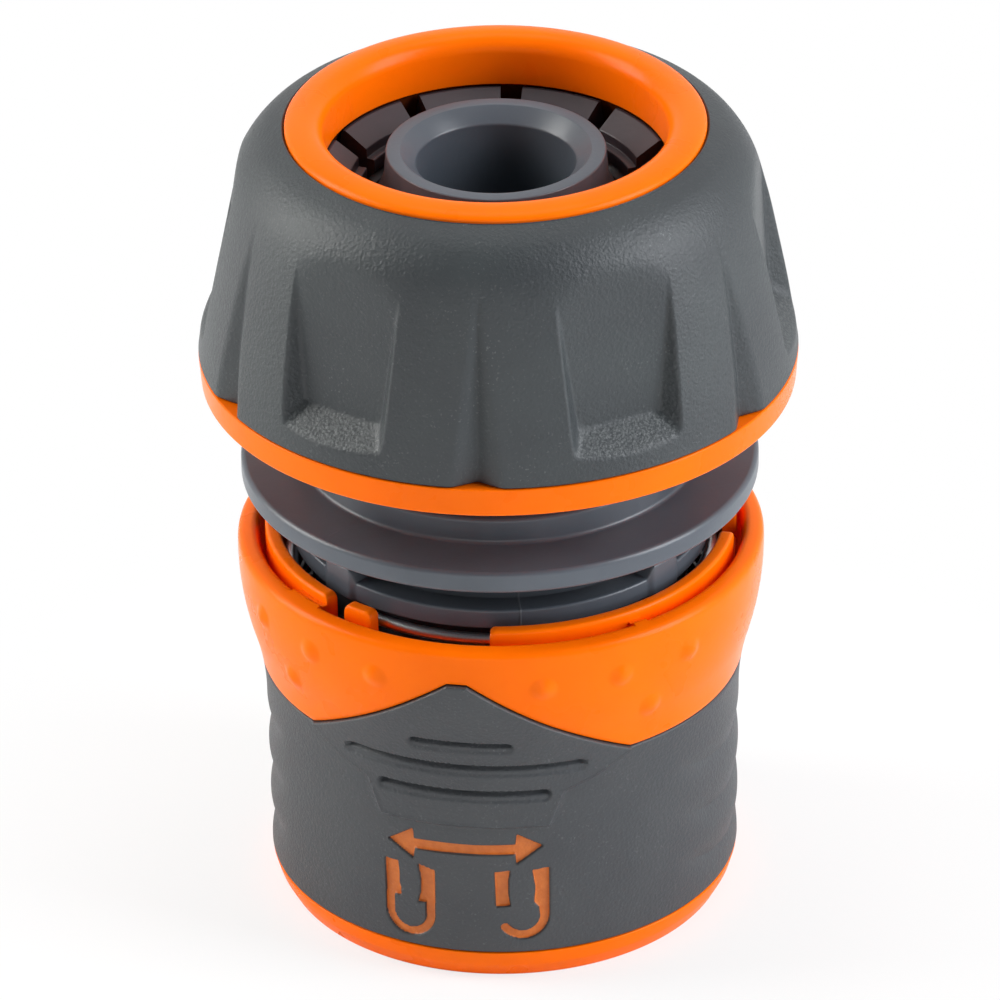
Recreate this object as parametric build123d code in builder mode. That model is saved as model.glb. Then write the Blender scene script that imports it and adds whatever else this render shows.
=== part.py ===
from build123d import *
import os
from math import atan2, cos, degrees, radians, sin, sqrt, tan

# Garden hose quick connector with a sleeve that twists to lock and slides to release.
# Millimetres. The origin is the centre of the sleeve's lower ring, +Z points to the hose
# and the sleeve's front panel faces -Y.

# Clearances
sliding_gap = 0.3
stop_gap = 0.3
seat_gap = 0.2
press_gap = 0.05

# Water way, plug socket and hose tail
waterway_diameter = 12.8
seal_bore_diameter = 16.0
seal_bore_length = 18.0
mouth_diameter = 18.4
mouth_length = 15.0
mouth_chamfer = 1.0
tail_length = 27.05
tail_rim_diameter = 17.6
tail_rim_chamfer = 1.25
tail_chamfer_length = 1.15
tail_pilot_diameter = 18.0
tail_pilot_length = 2.5
barb_diameter = 19.4
barb_land = 0.9
barb_pitch = 5.0
barb_count = 3
barb_root_depth = 0.7

# Sleeve, from the inside outward
sleeve_foot_wall = 1.43
sleeve_seam_height = 2.73
sleeve_seam_step = 0.15
sleeve_waist_step = 1.5
sleeve_straight_height = 17.0
sleeve_height = 32.4
sleeve_flare_drop = 1.5
sleeve_rim_land = 0.6
sleeve_rim_wall = 1.35
sleeve_travel = 4.2
sleeve_wall = 2.4
sleeve_bottom_bulge = 0.25
guide_ring_gap = 0.9
guide_ring_wall = 1.3
guide_ring_rise = 0.6
low_ring_drop = 1.9
rim_pocket_width = 0.9
rim_pocket_depth = 3.2
rim_pocket_slope = 0.6
spring_room = 10.8
spring_floor_thickness = 1.6
cam_top_height = 12.2
cam_top_room = 1.4
web_thickness = 1.2
web_drop = 0.3
web_angles = (43.5,)

# The guide ring's top stands in three runs on each half: first and last angle of each gap
ring_gaps = ((-37.0, -31.2), (-23.3, 7.0), (90.0, 115.0))

# Shelves in the rim's pocket: first and last angle, and how far they lie under the rim
shelves = ((-47.0, -37.0, 0.25), (43.5, 67.0, 1.3))

# Sleeve grip: its edge is set down from the sleeve's rim, and the pad from that edge
grip_thickness = 1.25
grip_edge_drop = 11.55
grip_corner_width = 26.0
grip_peak_rise = 8.15
grip_peak_width = 1.6
pad_rise = 0.3
pad_bottom_drop = 5.85
pad_bottom_width = 13.6
pad_waist_drop = 2.75
pad_waist_width = 15.8
pad_shoulder_drop = 1.65
pad_shoulder_width = 21.0
pad_slot_height = 1.1
pad_slot_depth = 0.5
pad_slot_rises = (-3.0, -0.45, 1.95)
pad_slot_widths = (15.0, 20.6, 9.4)
lobe_valley_levels = (5.1, 9.7, 14.3)
lobe_valley_rise = 37.0
lobe_valley_radius = 1.6
lobe_valley_depth = 0.4

# Low round bumps on the flare: angle from the panel's centre, and how far they lie under the rim
bump_radius = 1.4
bump_rise = 0.35
bump_row_drop = 3.6
bump_row_angles = (18.8, 36.5, 54.8)
bump_low_drop = 7.7
bump_low_angle = 45.0

# Connector body
body_end_height = 1.2
socket_wall = 1.2
claw_room = 3.2
collar_reach = 1.8
collar_sink = 0.4
collar_thickness = 1.7
collar_lug_height = 1.1
collar_lug_width = 4.0
collar_lug_rise = 0.25
collar_lug_angles = (-40.0, 60.0)
undercut_depth = 2.0
flange_reach = 4.0
flange_thickness = 1.9
neck_step = 1.2
neck_height = 2.2
boss_wall = 1.5
hose_pocket_width = 3.8
hose_pocket_depth = 8.6
edge_round = 0.4

# Claws
claw_count = 4
claw_first_angle = 45.0
claw_tip_diameter = 16.4
claw_travel = 1.25
claw_stem_width = 6.0
claw_stem_height = 3.0
claw_head_width = 9.0
claw_head_height = 5.0
claw_level = 9.0
claw_lead = 1.2

# End ring
end_ring_height = 2.0
end_ring_step = 0.6

# Spring, whose last turn ends at an angle from the front
spring_wire = 1.0
spring_turns = 4.5
spring_end_angle = -30.0

# Nut
nut_height = 23.1
nut_gap_to_flange = 6.9
nut_bottom_step = 0.2
nut_band_height = 2.5
nut_middle_step = 1.3
nut_middle_height = 10.4
nut_shoulder_step = 3.5
nut_shoulder_height = 19.0
nut_ring_drop = 0.7
nut_ring_width = 3.1
nut_mouth_width = 4.05
nut_mouth_drop = 1.0
nut_mouth_length = 3.3
nut_mouth_step = 0.4
nut_grip_thickness = 2.9
nut_grip_top_thickness = 1.5
nut_core_wall = 1.8
nut_tube_wall = 1.7
nut_tube_recess = 0.7
nut_skirt_wall = 1.8
nut_pocket_width = 1.9
nut_pocket_depth = 12.5
nut_rib_count = 12
nut_rib_thickness = 1.2
nut_travel_down = 4.2
thread_height = 0.6
snap_ridge_width = 0.6

# Scoops and notches round the nut, angles from the front panel
scoop_count = 6
scoop_first_angle = 35.6
scoop_floor_depth = 2.5
scoop_floor_lean = 4.2
scoop_bottom_height = 6.1
scoop_bottom_width = 7.2
scoop_length = 13.4
scoop_top_width = 10.4
scoop_wall_slope = 36.0
scoop_corner = 0.8
notch_first_angle = 5.6
notch_width = 3.6
notch_depth = 1.1
notch_top_height = 18.6

# Collet: fingers with a funnel for the hose, a lip and two teeth under it
collet_height = 8.05
collet_top_gap = 0.15
collet_fingers = 10
collet_slot = 1.7
collet_slot_angle = 4.4
collet_ring_height = 2.2
collet_ring_wall = 2.3
collet_land = 0.3
collet_funnel_depth = 1.25
collet_lip_step = 0.7
collet_lip_length = 0.8
hose_room = 1.3
collet_tooth_depth = 0.9
collet_tooth_length = 1.1
collet_tooth_slope = 0.5


def on_ring(radius, angle, height=0.0):
    """Point at an angle from the front panel, which faces -Y, positive to the right."""
    return (radius * sin(radians(angle)), -radius * cos(radians(angle)), height)


def facing(angle, distance=0.0, height=0.0, lean=0.0):
    """Plane whose normal points outward at an angle from the front, leaning back upward."""
    across = (cos(radians(angle)), sin(radians(angle)), 0)
    out = on_ring(cos(radians(lean)), angle, sin(radians(lean)))
    return Plane(origin=on_ring(distance, angle, height), x_dir=across, z_dir=out)


# Heights that follow from the sizes above
sleeve_flare_height = sleeve_height - sleeve_flare_drop
collar_height = sleeve_height - collar_sink
grip_edge_height = sleeve_height - grip_edge_drop
grip_peak_height = grip_edge_height + grip_peak_rise
guide_ring_top = sleeve_height + guide_ring_rise
flange_bottom = guide_ring_top + sleeve_travel + stop_gap
flange_top = flange_bottom + flange_thickness
neck_top = flange_top + neck_height
tail_top = flange_top + tail_length
nut_bottom = flange_top + nut_gap_to_flange
nut_top = nut_bottom + nut_height
mouth_low = nut_top - nut_mouth_drop - nut_mouth_length
collet_top = mouth_low - collet_top_gap
collet_bottom = collet_top - collet_height
boss_top = collet_bottom - nut_travel_down - seat_gap
collar_top = collar_height + collar_thickness
barrel_shoulder = cam_top_height + sleeve_travel + stop_gap
spring_seat = sleeve_height - spring_room
spring_floor_height = spring_seat - spring_floor_thickness

# Radii of the body from the plug's socket outward
mouth = mouth_diameter / 2
end_spigot = mouth + mouth_chamfer + socket_wall
claw_barrel = end_spigot + end_ring_step
spring_barrel = claw_barrel + claw_room
collar_radius = spring_barrel + collar_reach
undercut_radius = collar_radius - undercut_depth
flange_radius = collar_radius + flange_reach
barb_radius = barb_diameter / 2
boss_radius = barb_radius + hose_pocket_width + boss_wall
neck_radius = boss_radius + neck_step

# The claw cone: its slope makes the sleeve's travel open the claws by their own travel
cam_slope = claw_travel / sleeve_travel
cam_top_radius = claw_barrel + cam_top_room
end_ring_top = body_end_height + end_ring_height


def cam_radius(height):
    """Radius of the sleeve's cone, which widens downward."""
    return cam_top_radius + cam_slope * (cam_top_height - height)


# Radii of the sleeve from the collar outward
guide_ring_inner = collar_radius + guide_ring_gap
guide_ring_outer = guide_ring_inner + guide_ring_wall
rim_inner = guide_ring_outer + rim_pocket_width
sleeve_rim = rim_inner + sleeve_rim_land
sleeve_flare = rim_inner + sleeve_rim_wall
sleeve_waist = guide_ring_inner + sleeve_waist_step
sleeve_seam = sleeve_waist - sleeve_seam_step
sleeve_foot = cam_radius(body_end_height) + sleeve_foot_wall

# Radii of the nut from the body's thread outward, and of its mouth from the hose tail outward
nut_bore = boss_radius + thread_height + sliding_gap
tube_outer = nut_bore + nut_tube_wall
skirt_inner = tube_outer + nut_pocket_width
core_seam = skirt_inner + nut_skirt_wall
nut_seam = core_seam + nut_grip_thickness
nut_foot = nut_seam - nut_bottom_step
nut_middle = nut_seam - nut_middle_step
nut_shoulder = nut_seam - nut_shoulder_step
nut_mouth = barb_radius + nut_mouth_width
ring_radius = nut_mouth + nut_ring_width


def flare_radius(height):
    """Outer radius of the flare: two equal arcs that leave and arrive upright."""
    rise = (sleeve_flare_height - sleeve_straight_height) / 2
    spread = (sleeve_flare - sleeve_waist) / 2
    arc = (rise**2 + spread**2) / (2 * spread)
    if height < sleeve_straight_height + rise:
        return sleeve_waist + arc - sqrt(arc**2 - (height - sleeve_straight_height) ** 2)
    return sleeve_flare - arc + sqrt(arc**2 - (sleeve_flare_height - height) ** 2)


def sleeve_side(shift=0.0):
    """Outer line of the sleeve from the lower seam to the flare's widest point."""
    half_rise = (sleeve_straight_height + sleeve_flare_height) / 2
    seam = (sleeve_seam + shift, sleeve_seam_height)
    waist = (sleeve_waist + shift, sleeve_straight_height)
    middle = (flare_radius(half_rise) + shift, half_rise)
    widest = (sleeve_flare + shift, sleeve_flare_height)
    Line(seam, waist)
    lower = TangentArc(waist, middle, tangent=(0, 1))
    TangentArc(middle, widest, tangent=lower % 1)


def ring_sector(inner, outer, first, last):
    """Face of a ring between two angles from the front."""
    with BuildSketch() as sector:
        with BuildLine():
            CenterArc((0, 0), inner, first - 90, last - first)
            CenterArc((0, 0), outer, first - 90, last - first)
            Line(on_ring(inner, first), on_ring(outer, first))
            Line(on_ring(inner, last), on_ring(outer, last))
        make_face()
    return sector.sketch


# One grey moulding: socket, barrel, collar, finger flange, neck, thread boss and hose tail
barb_root = barb_radius - barb_root_depth
seal_top = body_end_height + mouth_length + seal_bore_length
mouth_top = body_end_height + mouth_length
waterway = waterway_diameter / 2
seal_bore = seal_bore_diameter / 2
bore_step = seal_bore - waterway
pocket_floor = boss_top - hose_pocket_depth

barb_points = []
for barb in range(barb_count):
    crest = tail_top - barb_pitch * (barb + 1)
    barb_points += [(barb_radius, crest + barb_land), (barb_radius, crest), (barb_root, crest)]
barb_points.reverse()

with BuildPart() as connector_body:
    with BuildSketch(Plane.XZ):
        with BuildLine():
            Polyline(
                (mouth + mouth_chamfer, body_end_height),
                (end_spigot, body_end_height),
                (end_spigot, end_ring_top),
                (claw_barrel, end_ring_top),
                (claw_barrel, barrel_shoulder),
                (spring_barrel, barrel_shoulder),
                (spring_barrel, collar_height),
                (collar_radius, collar_height),
                (collar_radius, collar_top),
                (undercut_radius, collar_top),
                (undercut_radius, flange_bottom),
                (flange_radius, flange_bottom),
                (flange_radius, flange_top),
                (neck_radius, flange_top),
                (neck_radius, neck_top),
                (boss_radius, neck_top),
                (boss_radius, boss_top),
                (boss_radius - boss_wall, boss_top),
                (boss_radius - boss_wall, pocket_floor),
                (barb_root, pocket_floor),
                *barb_points,
                (tail_pilot_diameter / 2, tail_top - tail_pilot_length),
                (tail_rim_diameter / 2, tail_top),
                (waterway + tail_rim_chamfer, tail_top),
                (waterway, tail_top - tail_chamfer_length),
                (waterway, seal_top + bore_step),
                (seal_bore, seal_top),
                (seal_bore, mouth_top),
                (mouth, mouth_top - (mouth - seal_bore)),
                (mouth, body_end_height + mouth_chamfer),
                (mouth + mouth_chamfer, body_end_height),
            )
        make_face()
    revolve(axis=Axis.Z)

    # Rounded edges of the finger flange, the neck and the collar
    flange_edges = edges().filter_by(
        lambda edge: edge.geom_type == GeomType.CIRCLE
        and abs(edge.radius - flange_radius) < press_gap
    )
    fillet(flange_edges, edge_round)
    neck_edge = edges().filter_by(
        lambda edge: edge.geom_type == GeomType.CIRCLE
        and abs(edge.radius - neck_radius) < press_gap
        and edge.center().Z > neck_top - press_gap
    )
    fillet(neck_edge, edge_round)

    # Stop lugs that stand on the collar, twice round
    for half_turn in (0, 180):
        for angle in collar_lug_angles:
            lug_plane = facing(angle + half_turn, undercut_radius, collar_height)
            lug_reach = undercut_depth + collar_lug_rise
            with BuildSketch(lug_plane):
                with Locations((0, (collar_thickness + collar_lug_height) / 2)):
                    Rectangle(collar_lug_width, collar_thickness + collar_lug_height)
            extrude(amount=lug_reach)

    # Four windows for the claws
    for claw in range(claw_count):
        window_angle = claw_first_angle + claw * 360 / claw_count
        with BuildSketch(facing(window_angle, waterway, claw_level)):
            Rectangle(claw_stem_width + 2 * sliding_gap, claw_stem_height + 2 * sliding_gap)
        extrude(amount=spring_barrel - waterway, mode=Mode.SUBTRACT)

connector_body.part.label = "connector_body"


# Ring on the socket's end; the sleeve's cone comes to rest on it
def end_ring_radius(height):
    return cam_radius(height) - sliding_gap


with BuildPart() as end_ring:
    with BuildSketch(Plane.XZ):
        with BuildLine():
            Polyline(
                (end_spigot + press_gap, body_end_height),
                (end_ring_radius(body_end_height) - edge_round, body_end_height),
                (end_ring_radius(body_end_height + edge_round), body_end_height + edge_round),
                (end_ring_radius(end_ring_top), end_ring_top),
                (end_spigot + press_gap, end_ring_top),
                close=True,
            )
        make_face()
    revolve(axis=Axis.Z)

end_ring.part.label = "end_ring"


# Claws: a stem in the window, a wider head between the barrel and the sleeve's cone
def make_claw(angle):
    head_low = claw_level - claw_head_height / 2
    head_high = claw_level + claw_head_height / 2
    head_inner = claw_barrel + sliding_gap
    with BuildPart() as claw:
        with BuildSketch(Plane.XZ):
            with BuildLine():
                Polyline(
                    (head_inner, head_low),
                    (cam_radius(head_low) - sliding_gap, head_low),
                    (cam_radius(head_high) - sliding_gap, head_high),
                    (head_inner, head_high),
                    close=True,
                )
            make_face()
        revolve(axis=Axis.Z)
        with BuildSketch(facing(angle, claw_tip_diameter / 2, claw_level)):
            Rectangle(claw_head_width, claw_head_height)
        extrude(amount=spring_barrel, mode=Mode.INTERSECT)
        with BuildSketch(facing(angle, 0, claw_level)):
            Rectangle(claw_stem_width, claw_stem_height)
        extrude(amount=head_inner + press_gap)
        # The tip is hollowed to the plug's round and slopes back at its lower side
        with BuildSketch(Plane.XZ):
            with BuildLine():
                stem_low = claw_level - claw_stem_height / 2
                tip = claw_tip_diameter / 2
                Polyline(
                    (0, claw_level + claw_stem_height),
                    (tip, claw_level + claw_stem_height),
                    (tip, claw_level),
                    (tip + claw_lead, stem_low),
                    (tip + claw_lead, stem_low - claw_lead),
                    (0, stem_low - claw_lead),
                    close=True,
                )
            make_face()
        revolve(axis=Axis.Z, mode=Mode.SUBTRACT)
    return claw.part


claws = []
for claw in range(claw_count):
    claw_part = make_claw(claw_first_angle + claw * 360 / claw_count)
    claw_part.label = f"lock_claw_{claw + 1}"
    claws.append(claw_part)


# Compression spring between the sleeve's floor and the underside of the collar
spring_radius = guide_ring_inner - sliding_gap - spring_wire / 2
spring_low = spring_seat + seat_gap + spring_wire / 2
spring_length = collar_height - seat_gap - spring_wire / 2 - spring_low

coil_start = on_ring(1, spring_end_angle + spring_turns * 360)
coil_plane = Plane(origin=(0, 0, spring_low), x_dir=coil_start, z_dir=(0, 0, 1))

with BuildPart() as release_spring:
    with BuildLine(coil_plane) as coil:
        Helix(
            pitch=spring_length / spring_turns,
            height=spring_length,
            radius=spring_radius,
            lefthand=True,
        )
    with BuildSketch(Plane(origin=coil.line @ 0, z_dir=coil.line % 0)):
        Circle(spring_wire / 2)
    sweep()

release_spring.part.label = "release_spring"


# Regions of the sleeve that the soft grip covers, as prisms through front and back
def grip_outline():
    reach = 2 * sleeve_flare
    corner = grip_corner_width / 2
    peak = grip_peak_width / 2
    with BuildSketch(Plane.XZ) as outline:
        with BuildLine():
            Polyline(
                (-reach, sleeve_seam_height),
                (reach, sleeve_seam_height),
                (reach, grip_edge_height),
                (corner, grip_edge_height),
                (peak, grip_peak_height),
                (-peak, grip_peak_height),
                (-corner, grip_edge_height),
                (-reach, grip_edge_height),
                close=True,
            )
        make_face()
    return outline.sketch


def pad_outline():
    corner = grip_corner_width / 2
    peak = grip_peak_width / 2
    with BuildSketch(Plane.XZ) as outline:
        with BuildLine():
            Polyline(
                (-pad_bottom_width / 2, grip_edge_height - pad_bottom_drop),
                (pad_bottom_width / 2, grip_edge_height - pad_bottom_drop),
                (pad_waist_width / 2, grip_edge_height - pad_waist_drop),
                (pad_shoulder_width / 2, grip_edge_height - pad_shoulder_drop),
                (corner, grip_edge_height),
                (peak, grip_peak_height),
                (-peak, grip_peak_height),
                (-corner, grip_edge_height),
                (-pad_shoulder_width / 2, grip_edge_height - pad_shoulder_drop),
                (-pad_waist_width / 2, grip_edge_height - pad_waist_drop),
                close=True,
            )
        make_face()
    return outline.sketch


def band(inner_shift, outer_shift):
    """Ring of the sleeve's wall between two lines parallel to its side."""
    with BuildPart() as ring:
        with BuildSketch(Plane.XZ):
            with BuildLine():
                sleeve_side(outer_shift)
                outer_top = (sleeve_flare + outer_shift, sleeve_flare_height)
                inner_top = (sleeve_flare + inner_shift, sleeve_flare_height)
                outer_low = (sleeve_seam + outer_shift, sleeve_seam_height)
                inner_low = (sleeve_seam + inner_shift, sleeve_seam_height)
                Line(outer_top, inner_top)
                sleeve_side(inner_shift)
                Line(outer_low, inner_low)
            make_face()
        revolve(axis=Axis.Z)
    return ring.part


grip_cutter_shift = pad_rise + grip_thickness

with BuildPart() as grip_recess:
    add(band(-grip_thickness, grip_cutter_shift))
    extrude(grip_outline(), amount=2 * sleeve_flare, both=True, mode=Mode.INTERSECT)

with BuildPart() as pad_skin:
    add(band(-grip_thickness / 2, pad_rise))
    extrude(pad_outline(), amount=2 * sleeve_flare, both=True, mode=Mode.INTERSECT)

with BuildPart() as pad_slots:
    add(band(pad_rise - pad_slot_depth, grip_cutter_shift))
    with BuildSketch(Plane.XZ):
        for rise, width in zip(pad_slot_rises, pad_slot_widths):
            with Locations((0, grip_edge_height + rise)):
                SlotOverall(width, pad_slot_height)
    extrude(amount=2 * sleeve_flare, both=True, mode=Mode.INTERSECT)

# Soft grip of the sleeve
with BuildPart() as sleeve_grip:
    add(band(-grip_thickness, 0))
    extrude(grip_outline(), amount=2 * sleeve_flare, both=True, mode=Mode.INTERSECT)
    add(pad_skin.part)
    add(pad_slots.part, mode=Mode.SUBTRACT)
    # Valleys between the side lobes: tilted rings that bite into each side and fade out
    valley_reach = sleeve_waist - lobe_valley_depth + lobe_valley_radius
    valley_major = valley_reach / cos(radians(lobe_valley_rise))
    for level in lobe_valley_levels:
        middle = level + valley_reach * tan(radians(lobe_valley_rise))
        for side in (1, -1):
            with Locations(Location((0, 0, middle), (0, side * lobe_valley_rise, 0))):
                Torus(valley_major, lobe_valley_radius, mode=Mode.SUBTRACT)

sleeve_grip.part.label = "sleeve_grip"


# Low round bumps for the fingertips, on the flare's front and back
bump_places = [(angle, sleeve_height - bump_row_drop) for angle in bump_row_angles]
bump_places.append((bump_low_angle, sleeve_height - bump_low_drop))

with BuildPart() as bumps:
    for angle, height in bump_places:
        reach = flare_radius(height) + bump_rise - bump_radius
        for bump_angle in (angle, -angle, 180 + angle, 180 - angle):
            with Locations(on_ring(reach, bump_angle, height)):
                Sphere(bump_radius)
    add(band(-bump_rise, grip_cutter_shift), mode=Mode.INTERSECT)

# Hard core of the sleeve
floor_bore = spring_barrel + sliding_gap
wall_inner = sleeve_waist - sleeve_wall
pocket_low = sleeve_height - rim_pocket_depth

with BuildPart() as release_sleeve:
    with BuildSketch(Plane.XZ):
        with BuildLine():
            bottom = (sleeve_foot, 0)
            seam = (sleeve_seam, sleeve_seam_height)
            widest = (sleeve_flare, sleeve_flare_height)
            rim_outer = (sleeve_rim, sleeve_height)
            low_bulge = ((bottom[0] + seam[0]) / 2 + sleeve_bottom_bulge, sleeve_seam_height / 2)
            ThreePointArc(bottom, low_bulge, seam)
            sleeve_side()
            TangentArc(widest, rim_outer, tangent=(0, 1))
            Polyline(
                rim_outer,
                (rim_inner, sleeve_height),
                (rim_inner, pocket_low + rim_pocket_slope),
                (guide_ring_outer, pocket_low),
                (guide_ring_outer, guide_ring_top),
                (guide_ring_inner, guide_ring_top),
                (guide_ring_inner, spring_seat),
                (floor_bore, spring_seat),
                (floor_bore, spring_floor_height),
                (wall_inner, spring_floor_height),
                (wall_inner, cam_top_height),
                (cam_top_radius, cam_top_height),
                (cam_radius(body_end_height), body_end_height),
                (cam_radius(body_end_height), 0),
                bottom,
            )
        make_face()
    revolve(axis=Axis.Z)
    add(grip_recess.part, mode=Mode.SUBTRACT)

    for half_turn in (0, 180):
        # Gaps in the guide ring, and shelves that tie its runs to the wall
        with BuildSketch(Plane.XY.offset(sleeve_height - low_ring_drop)):
            for first, last in ring_gaps:
                ring_from = guide_ring_inner - press_gap
                ring_to = guide_ring_outer + press_gap
                add(ring_sector(ring_from, ring_to, first + half_turn, last + half_turn))
        extrude(amount=low_ring_drop + guide_ring_rise + press_gap, mode=Mode.SUBTRACT)
        shelf_low = pocket_low - rim_pocket_slope
        for first, last, drop in shelves:
            with BuildSketch(Plane.XY.offset(shelf_low)):
                shelf_from = guide_ring_outer - press_gap
                shelf_to = rim_inner + press_gap
                add(ring_sector(shelf_from, shelf_to, first + half_turn, last + half_turn))
            extrude(amount=sleeve_height - drop - shelf_low)
        # Webs between the guide ring and the rim
        web_low = pocket_low - rim_pocket_slope
        web_high = sleeve_height - web_drop
        for angle in web_angles:
            with BuildSketch(facing(angle + half_turn, guide_ring_outer - press_gap, web_low)):
                with Locations((0, (web_high - web_low) / 2)):
                    Rectangle(web_thickness, web_high - web_low)
            extrude(amount=rim_inner - guide_ring_outer + 2 * press_gap)
    add(bumps.part)

release_sleeve.part.label = "release_sleeve"


# Nut: a dome with a top ring, and inside it a threaded tube whose cone closes the collet
cone_top = nut_mouth + nut_mouth_step
cone_low = collet_bottom - seat_gap
tube_low = nut_bottom + nut_tube_recess
pocket_top = nut_bottom + nut_pocket_depth
seam_height = nut_bottom + nut_band_height
middle_height = nut_bottom + nut_middle_height
shoulder_height = nut_bottom + nut_shoulder_height
ring_height = nut_top - nut_ring_drop
core_middle = nut_middle - nut_grip_thickness
core_shoulder = nut_shoulder - nut_grip_thickness


def nut_cone_radius(height):
    """Inner radius of the nut round the collet, narrowing upward."""
    return nut_bore + (cone_top - nut_bore) * (height - cone_low) / (mouth_low - cone_low)


def nut_dome():
    """Outer line of the nut's soft grip from the lower seam to the top ring."""
    Spline(
        (nut_seam, seam_height),
        (nut_middle, middle_height),
        (nut_shoulder, shoulder_height),
        (ring_radius, ring_height),
    )


def nut_core_dome():
    """Outer line of the hard shell under the grip."""
    Spline(
        (core_seam, seam_height),
        (core_middle, middle_height),
        (core_shoulder, shoulder_height - nut_grip_top_thickness),
        (ring_radius, ring_height - nut_grip_top_thickness),
    )


with BuildPart() as nut_shell:
    with BuildSketch(Plane.XZ):
        with BuildLine():
            crown = (ring_radius - nut_ring_width / 2, nut_top)
            mouth_edge = (nut_mouth, nut_top - nut_mouth_drop)
            ridge_radius = boss_radius + sliding_gap
            ridge_top = cone_low - seat_gap
            ridge_low = ridge_top - snap_ridge_width
            ridge_ramp = nut_bore - ridge_radius
            Line((nut_foot, nut_bottom), (nut_seam, seam_height))
            Line((nut_seam, seam_height), (core_seam, seam_height))
            nut_core_dome()
            Line((ring_radius, ring_height - nut_grip_top_thickness), (ring_radius, ring_height))
            TangentArc(crown, (ring_radius, ring_height), tangent=(1, 0))
            TangentArc(crown, mouth_edge, tangent=(-1, 0))
            Polyline(
                mouth_edge,
                (nut_mouth, mouth_low),
                (cone_top, mouth_low),
                (nut_bore, cone_low),
                (ridge_radius, ridge_top),
                (ridge_radius, ridge_low),
                (nut_bore, ridge_low - ridge_ramp),
                (nut_bore, tube_low),
                (tube_outer, tube_low),
                (tube_outer, pocket_top),
                (core_middle - nut_core_wall, pocket_top),
                (skirt_inner, seam_height + nut_skirt_wall),
                (core_seam, nut_bottom),
                (nut_foot, nut_bottom),
            )
        make_face()
    revolve(axis=Axis.Z)

    # Ribs between the threaded tube and the skirt
    for rib in range(nut_rib_count):
        rib_angle = notch_first_angle + rib * 360 / nut_rib_count
        rib_height = pocket_top - seam_height
        with BuildSketch(facing(rib_angle, tube_outer - press_gap, seam_height)):
            with Locations((0, rib_height / 2)):
                Rectangle(nut_rib_thickness, rib_height)
        extrude(amount=skirt_inner - tube_outer + 2 * press_gap)

nut_shell.part.label = "nut_shell"

with BuildPart() as nut_grip:
    with BuildSketch(Plane.XZ):
        with BuildLine():
            Line((core_seam, seam_height), (nut_seam, seam_height))
            nut_dome()
            Line((ring_radius, ring_height), (ring_radius, ring_height - nut_grip_top_thickness))
            nut_core_dome()
        make_face()
    revolve(axis=Axis.Z)

    # Scoops for the fingers: a leaning flat floor with sloping walls
    for scoop in range(scoop_count):
        scoop_angle = scoop_first_angle + scoop * 360 / scoop_count
        floor_height = nut_bottom + scoop_bottom_height
        scoop_plane = facing(scoop_angle, nut_seam - scoop_floor_depth, floor_height, scoop_floor_lean)
        with BuildSketch(scoop_plane) as floor:
            with BuildLine():
                Polyline(
                    (-scoop_bottom_width / 2, 0),
                    (scoop_bottom_width / 2, 0),
                    (scoop_top_width / 2, scoop_length),
                    (-scoop_top_width / 2, scoop_length),
                    close=True,
                )
            make_face()
            fillet(floor.vertices().group_by(Axis.Z)[0], scoop_corner)
        extrude(amount=nut_grip_thickness, taper=-scoop_wall_slope, mode=Mode.SUBTRACT)

    # Notches between the lobes: a straight V that runs out at the shoulder
    notch_run = notch_top_height - nut_band_height
    notch_inner = nut_seam - notch_depth
    notch_lean = degrees(atan2(notch_inner - nut_shoulder, notch_run))
    for notch in range(scoop_count):
        notch_angle = notch_first_angle + notch * 360 / scoop_count
        notch_plane = facing(notch_angle, notch_inner, seam_height, notch_lean)
        opening = nut_grip_thickness
        half_opening = opening * notch_width / notch_depth / 2
        with BuildSketch(Plane(notch_plane.origin, notch_plane.x_dir, notch_plane.y_dir)):
            with BuildLine():
                Polyline((0, 0), (-half_opening, -opening), (half_opening, -opening), close=True)
            make_face()
        extrude(amount=notch_run / cos(radians(notch_lean)), both=True, mode=Mode.SUBTRACT)

nut_grip.part.label = "nut_grip"


# Collet: a ring carried in the nut, with ten fingers that grip the hose
collet_outer = nut_cone_radius(collet_top) - sliding_gap
collet_foot = nut_cone_radius(collet_bottom) - sliding_gap
collet_bore = collet_foot - collet_ring_wall
grip_radius = barb_radius + hose_room
lip_radius = grip_radius + collet_lip_step
root_radius = grip_radius + collet_tooth_depth
lip_top = collet_top - collet_funnel_depth
teeth_top = lip_top - collet_lip_length
tooth_low = teeth_top - 2 * collet_tooth_length - 2 * collet_tooth_slope

with BuildPart() as hose_collet:
    with BuildSketch(Plane.XZ):
        with BuildLine():
            Polyline(
                (collet_foot, collet_bottom),
                (collet_outer, collet_top),
                (collet_outer - collet_land, collet_top),
                (lip_radius, lip_top),
                (lip_radius, teeth_top),
                (grip_radius, teeth_top),
                (grip_radius, teeth_top - collet_tooth_length),
                (root_radius, teeth_top - collet_tooth_length - collet_tooth_slope),
                (grip_radius, tooth_low + collet_tooth_length),
                (grip_radius, tooth_low),
                (collet_bore, tooth_low - (collet_bore - grip_radius)),
                (collet_bore, collet_bottom),
                close=True,
            )
        make_face()
    revolve(axis=Axis.Z)
    for finger in range(collet_fingers):
        slot_angle = collet_slot_angle + finger * 360 / collet_fingers
        slot_height = collet_height - collet_ring_height
        with BuildSketch(facing(slot_angle, 0, collet_bottom + collet_ring_height)):
            with Locations((0, slot_height / 2)):
                Rectangle(collet_slot, slot_height)
        extrude(amount=nut_bore, mode=Mode.SUBTRACT)

hose_collet.part.label = "hose_collet"

pieces = [
    connector_body.part,
    end_ring.part,
    release_spring.part,
    release_sleeve.part,
    sleeve_grip.part,
    nut_shell.part,
    nut_grip.part,
    hose_collet.part,
    *claws,
]

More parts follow.
